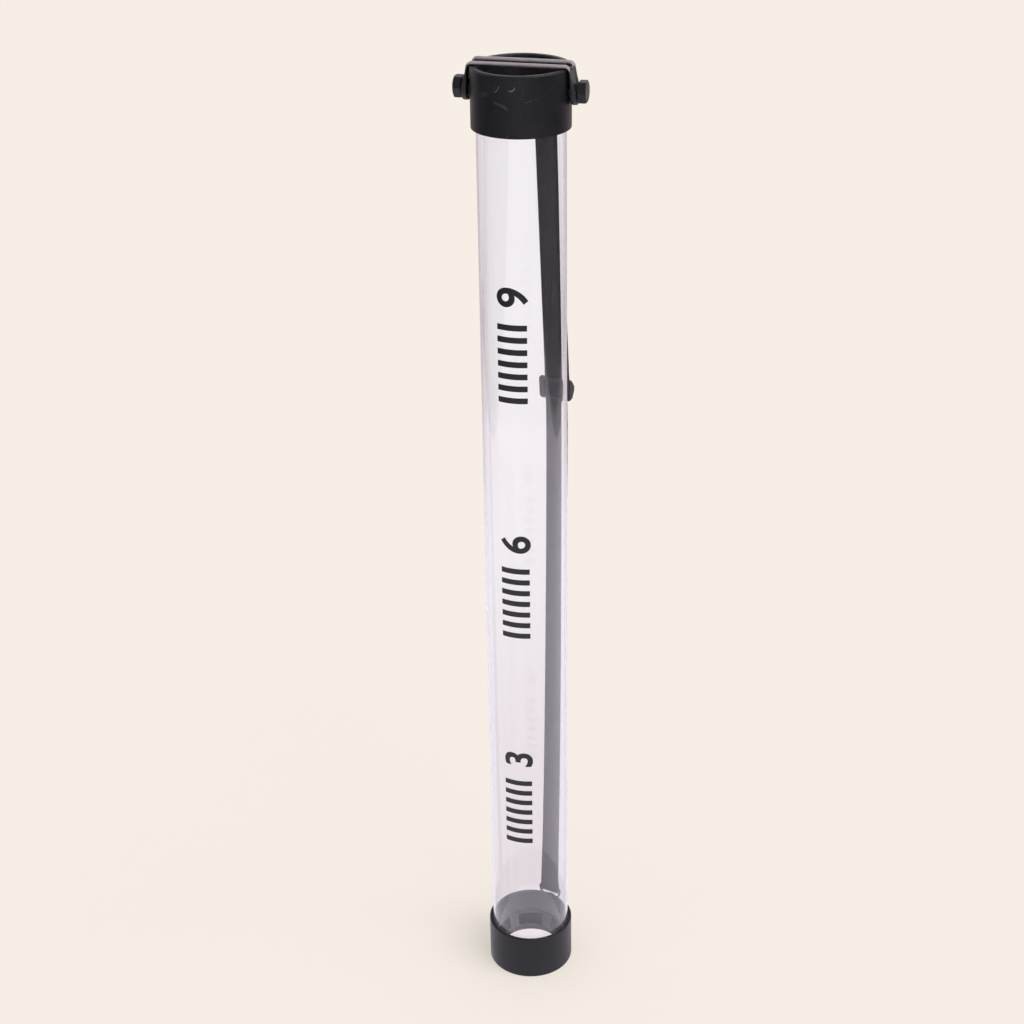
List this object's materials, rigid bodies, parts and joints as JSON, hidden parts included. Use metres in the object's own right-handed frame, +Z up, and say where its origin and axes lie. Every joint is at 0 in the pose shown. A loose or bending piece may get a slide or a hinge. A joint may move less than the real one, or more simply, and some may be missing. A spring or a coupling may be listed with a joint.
{
  "type": "ball pickup tube",
  "caption": "Clear ball pickup tube with an elastic gripper ring in its bottom collar, a rubber band across its open mouth on hex pegs, and an adjustable webbing carry strap.",
  "frame": {"origin": "centre of the bottom collar's base, on the tube's axis", "axes": "+Z up along the tube towards the open mouth, +X along the pegs towards the right-hand peg, +Y towards the back, where the carry strap hangs"},
  "size_m": [0.1084, 0.108, 0.886],
  "materials": {
    "clear_plastic": "clear, glossy, faintly lilac",
    "collar_plastic": "satin black moulded plastic with light scuffs",
    "gripper_rubber": "soft black rubber",
    "peg_plastic": "satin black",
    "band_rubber": "dull black rubber",
    "ring_wire": "black-coated wire",
    "webbing": "woven black webbing",
    "slider_plastic": "satin black moulded plastic",
    "thread": "black sewing thread"
  },
  "bodies": {
    "tube": {"clear_tube": "clear_plastic", "top_collar": "collar_plastic", "bottom_collar": "collar_plastic", "gripper_ring": "gripper_rubber", "left_peg": "peg_plastic", "right_peg": "peg_plastic", "band_left_end": "band_rubber", "band_right_end": "band_rubber"},
    "front_strand": {"band_front_strand": "band_rubber"},
    "rear_strand": {"band_rear_strand": "band_rubber"},
    "upper_ring_body": {"upper_ring": "ring_wire"},
    "lower_ring_body": {"lower_ring": "ring_wire"},
    "strap": {"carry_strap": "webbing", "strap_return": "webbing", "lower_bartacks": "thread"},
    "slider": {"strap_slider": "slider_plastic", "strap_end_loop": "webbing", "slider_bartacks": "thread"}
  },
  "joints": [
    {"name": "front_strand_spread", "type": "slide", "parent": "tube", "child": "front_strand", "axis": [0, -1, 0], "range_m": [0, 0.024], "stiffness_N_per_m": 100},
    {"name": "rear_strand_spread", "type": "slide", "parent": "tube", "child": "rear_strand", "axis": [0, 1, 0], "range_m": [0, 0.024], "stiffness_N_per_m": 100},
    {"name": "strap_swing", "type": "hinge", "parent": "tube", "child": "upper_ring_body", "pos_m": [0.011, 0.0441, 0.8449], "axis": [0.9703, -0.2419, 0], "range_deg": [0, 20]},
    {"name": "strap_on_upper_ring", "type": "hinge", "parent": "upper_ring_body", "child": "strap", "pos_m": [0.011, 0.0441, 0.8314], "axis": [0.9703, -0.2419, 0], "range_deg": [-20, 0]},
    {"name": "lower_ring_swing", "type": "hinge", "parent": "tube", "child": "lower_ring_body", "pos_m": [0.011, 0.0441, 0.034], "axis": [-0.9703, 0.2419, 0], "range_deg": [0, 20]},
    {"name": "slider_travel", "type": "slide", "parent": "strap", "child": "slider", "axis": [-0.0177, -0.0711, 0.9973], "range_m": [0, 0.15], "deforming": ["strap_return"]}
  ],
  "couplings": [
    {"joint": "strap_on_upper_ring", "follows": "strap_swing", "ratio": -1},
    {"joint": "lower_ring_swing", "follows": "strap_swing", "ratio": 1}
  ]
}
